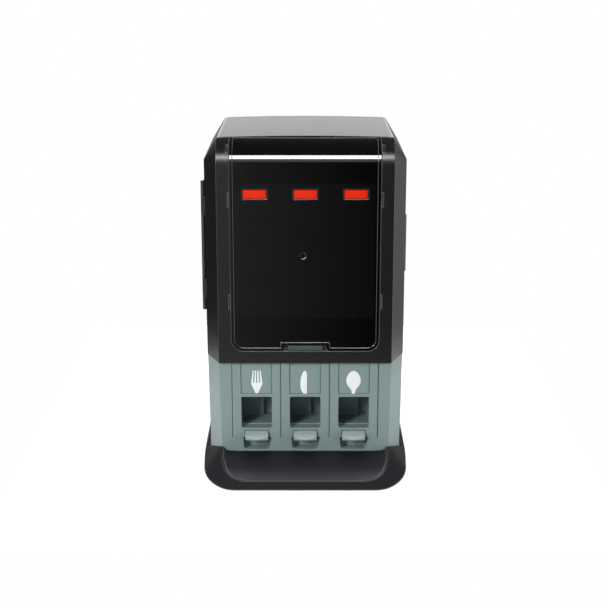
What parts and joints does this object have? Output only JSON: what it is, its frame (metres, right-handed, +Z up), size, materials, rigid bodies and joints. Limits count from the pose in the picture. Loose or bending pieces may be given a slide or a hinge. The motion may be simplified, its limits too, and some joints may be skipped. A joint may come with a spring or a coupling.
{
  "type": "cutlery dispenser",
  "caption": "Countertop cutlery dispenser with side-by-side towers behind a smoked hinged door, press levers and a rounded catch tray.",
  "frame": {"origin": "on the surface the dispenser stands on, below the middle of its overall box", "axes": "+Z up, front towards -Y, +X to the right of someone facing the front"},
  "size_m": [0.284, 0.352, 0.449],
  "materials": {
    "base_black": "fine moulded texture",
    "foot_rubber": "dull black rubber",
    "steel": "zinc plated",
    "grey_green": "satin moulded plastic",
    "plate_grey": "satin plate for a printed symbol",
    "lever_grey": "satin moulded plastic",
    "inner_grey": "plain moulded plastic",
    "slide_white": "low friction plastic",
    "weight_grey": "painted weight",
    "flag_red": "bright red moulded plastic",
    "housing_black": "satin moulded plastic",
    "smoked_window": "polished, dark smoked",
    "clip_black": "satin",
    "bar_grey": "satin",
    "hinge_black": "black powder coat",
    "magnet_black": "moulded magnet block"
  },
  "bodies": {
    "dispenser": {"base_screws": "steel", "base_tray": "base_black", "catch_magnet": "magnet_black", "chute_centre": "grey_green", "chute_left": "grey_green", "chute_right": "grey_green", "deck_screws": "steel", "flag_axle": "steel", "flag_bracket": "inner_grey", "hinge_bracket": "hinge_black", "hinge_pin": "steel", "hinge_screws": "steel", "icon_plate_centre": "plate_grey", "icon_plate_left": "plate_grey", "icon_plate_right": "plate_grey", "lever_pins": "steel", "lever_spring_centre": "steel", "lever_spring_left": "steel", "lever_spring_right": "steel", "lower_housing": "grey_green", "magazine_centre": "inner_grey", "magazine_deck": "inner_grey", "magazine_left": "inner_grey", "magazine_right": "inner_grey", "rear_cover": "housing_black", "rear_screws": "steel", "rubber_feet": "foot_rubber", "upper_housing": "housing_black"},
    "door": {"door_frame": "housing_black", "window_panel": "smoked_window", "window_clips": "clip_black", "catch_plate": "steel", "latch_spring": "steel"},
    "latch": {"latch_bar": "bar_grey"},
    "lever_left": {"lever_left": "lever_grey"},
    "ejector_left": {"ejector_left": "slide_white"},
    "follower_left": {"follower_left": "weight_grey"},
    "flag_left": {"stock_flag_left": "flag_red"},
    "lever_centre": {"lever_centre": "lever_grey"},
    "ejector_centre": {"ejector_centre": "slide_white"},
    "follower_centre": {"follower_centre": "weight_grey"},
    "flag_centre": {"stock_flag_centre": "flag_red"},
    "lever_right": {"lever_right": "lever_grey"},
    "ejector_right": {"ejector_right": "slide_white"},
    "follower_right": {"follower_right": "weight_grey"},
    "flag_right": {"stock_flag_right": "flag_red"}
  },
  "joints": [
    {"name": "door_swing", "type": "hinge", "parent": "dispenser", "child": "door", "pos_m": [-0.139, -0.018, 0.295], "axis": [0, 0, -1], "range_deg": [0, 110]},
    {"name": "latch_push", "type": "slide", "parent": "door", "child": "latch", "axis": [0, 1, 0], "range_m": [0, 0.0025], "stiffness_N_per_m": 400, "springref_m": -0.002, "deforming": ["latch_spring"]},
    {"name": "lever_left_press", "type": "hinge", "parent": "dispenser", "child": "lever_left", "pos_m": [-0.067, 0.006, 0.038], "axis": [1, 0, 0], "range_deg": [0, 10], "stiffness_Nm_per_rad": 0.2, "springref_deg": -11.46, "deforming": ["lever_spring_left"]},
    {"name": "ejector_left_slide", "type": "slide", "parent": "dispenser", "child": "ejector_left", "axis": [0, -1, 0], "range_m": [0, 0.01745]},
    {"name": "follower_left_lift", "type": "slide", "parent": "dispenser", "child": "follower_left", "axis": [0, 0, 1], "range_m": [0, 0.17]},
    {"name": "flag_left_tilt", "type": "hinge", "parent": "dispenser", "child": "flag_left", "pos_m": [-0.067, -0.064, 0.363], "axis": [-1, 0, 0], "range_deg": [0, 30]},
    {"name": "lever_centre_press", "type": "hinge", "parent": "dispenser", "child": "lever_centre", "pos_m": [0, 0.006, 0.038], "axis": [1, 0, 0], "range_deg": [0, 10], "stiffness_Nm_per_rad": 0.2, "springref_deg": -11.46, "deforming": ["lever_spring_centre"]},
    {"name": "ejector_centre_slide", "type": "slide", "parent": "dispenser", "child": "ejector_centre", "axis": [0, -1, 0], "range_m": [0, 0.01745]},
    {"name": "follower_centre_lift", "type": "slide", "parent": "dispenser", "child": "follower_centre", "axis": [0, 0, 1], "range_m": [0, 0.17]},
    {"name": "flag_centre_tilt", "type": "hinge", "parent": "dispenser", "child": "flag_centre", "pos_m": [0, -0.064, 0.363], "axis": [-1, 0, 0], "range_deg": [0, 30]},
    {"name": "lever_right_press", "type": "hinge", "parent": "dispenser", "child": "lever_right", "pos_m": [0.067, 0.006, 0.038], "axis": [1, 0, 0], "range_deg": [0, 10], "stiffness_Nm_per_rad": 0.2, "springref_deg": -11.46, "deforming": ["lever_spring_right"]},
    {"name": "ejector_right_slide", "type": "slide", "parent": "dispenser", "child": "ejector_right", "axis": [0, -1, 0], "range_m": [0, 0.01745]},
    {"name": "follower_right_lift", "type": "slide", "parent": "dispenser", "child": "follower_right", "axis": [0, 0, 1], "range_m": [0, 0.17]},
    {"name": "flag_right_tilt", "type": "hinge", "parent": "dispenser", "child": "flag_right", "pos_m": [0.067, -0.064, 0.363], "axis": [-1, 0, 0], "range_deg": [0, 30]}
  ],
  "couplings": [
    {"joint": "ejector_left_slide", "follows": "lever_left_press", "m_per_rad": 0.09987},
    {"joint": "ejector_centre_slide", "follows": "lever_centre_press", "m_per_rad": 0.09987},
    {"joint": "ejector_right_slide", "follows": "lever_right_press", "m_per_rad": 0.09987}
  ]
}
